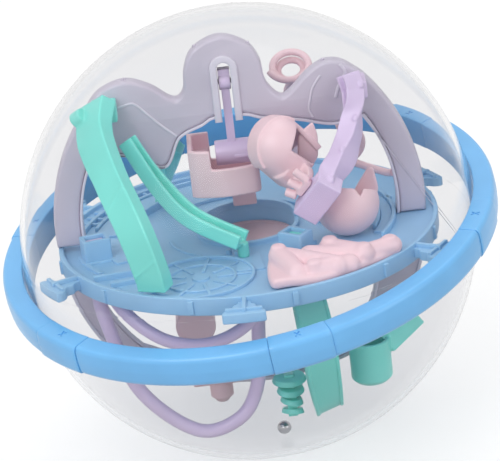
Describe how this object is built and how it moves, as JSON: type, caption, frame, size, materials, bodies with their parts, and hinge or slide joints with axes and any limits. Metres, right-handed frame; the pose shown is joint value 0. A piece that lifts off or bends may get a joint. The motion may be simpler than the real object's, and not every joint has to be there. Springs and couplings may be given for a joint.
{
  "type": "maze ball puzzle",
  "caption": "Clear ball with a maze of trays, rails, cups and slides inside it for a steel ball, held in a round grip ring.",
  "frame": {"origin": "centre of the clear ball", "axes": "+Z is the maze tray upward normal, +X runs to the right along the crown frame and +Y to the back"},
  "size_m": [0.2078, 0.208, 0.19],
  "materials": {
    "sky_blue_abs": "moulded, soft gloss",
    "clear_polystyrene": "clear, polished",
    "powder_blue_abs": "moulded, satin",
    "grey_lilac_abs": "moulded, satin",
    "lilac_abs": "moulded, satin",
    "mint_abs": "moulded, soft gloss",
    "pink_abs": "moulded, satin",
    "polished_steel": "ground and polished"
  },
  "bodies": {
    "grip_ring": {"ring_arc_1": "sky_blue_abs", "ring_arc_2": "sky_blue_abs", "ring_arc_3": "sky_blue_abs", "ring_arc_4": "sky_blue_abs", "ring_arc_5": "sky_blue_abs", "ring_arc_6": "sky_blue_abs", "ring_joint_1": "sky_blue_abs", "ring_joint_2": "sky_blue_abs", "ring_joint_3": "sky_blue_abs", "ring_joint_4": "sky_blue_abs", "ring_joint_5": "sky_blue_abs", "ring_joint_6": "sky_blue_abs"},
    "maze_ball": {"top_shell": "clear_polystyrene", "bottom_shell": "clear_polystyrene", "maze_tray": "powder_blue_abs", "crown_frame": "grey_lilac_abs", "lower_frame": "grey_lilac_abs", "lilac_track": "lilac_abs", "lower_lilac_rail": "lilac_abs", "lower_lilac_loop": "lilac_abs", "mint_slide": "mint_abs", "mint_rail": "mint_abs", "rear_chute": "mint_abs", "lower_mint_band": "mint_abs", "lower_mint_fan": "mint_abs", "lower_mint_cup": "mint_abs", "well_disc": "pink_abs", "pink_tub": "pink_abs", "pink_hood": "pink_abs", "pink_cup": "pink_abs", "pink_mounds": "pink_abs", "rear_spiral": "pink_abs", "rear_hook": "pink_abs", "lower_pink_drum": "pink_abs", "lower_pink_post": "pink_abs", "swing_axle": "polished_steel"},
    "swing": {"swing_lever": "lilac_abs"},
    "steel_ball": {"steel_ball": "polished_steel"}
  },
  "joints": [
    {"name": "ball_turn", "type": "hinge", "parent": "grip_ring", "child": "maze_ball", "pos_m": [0, 0, 0], "axis": [0.8241, -0.5664, 0], "continuous": true},
    {"name": "swing_pivot", "type": "hinge", "parent": "maze_ball", "child": "swing", "pos_m": [-0.0025, 0, 0.066], "axis": [1, 0, 0], "range_deg": [-10, 35]},
    {"name": "ball_roll", "type": "hinge", "parent": "maze_ball", "child": "steel_ball", "pos_m": [0, 0, 0], "axis": [1, 0, 0], "range_deg": [-30, 35]}
  ]
}
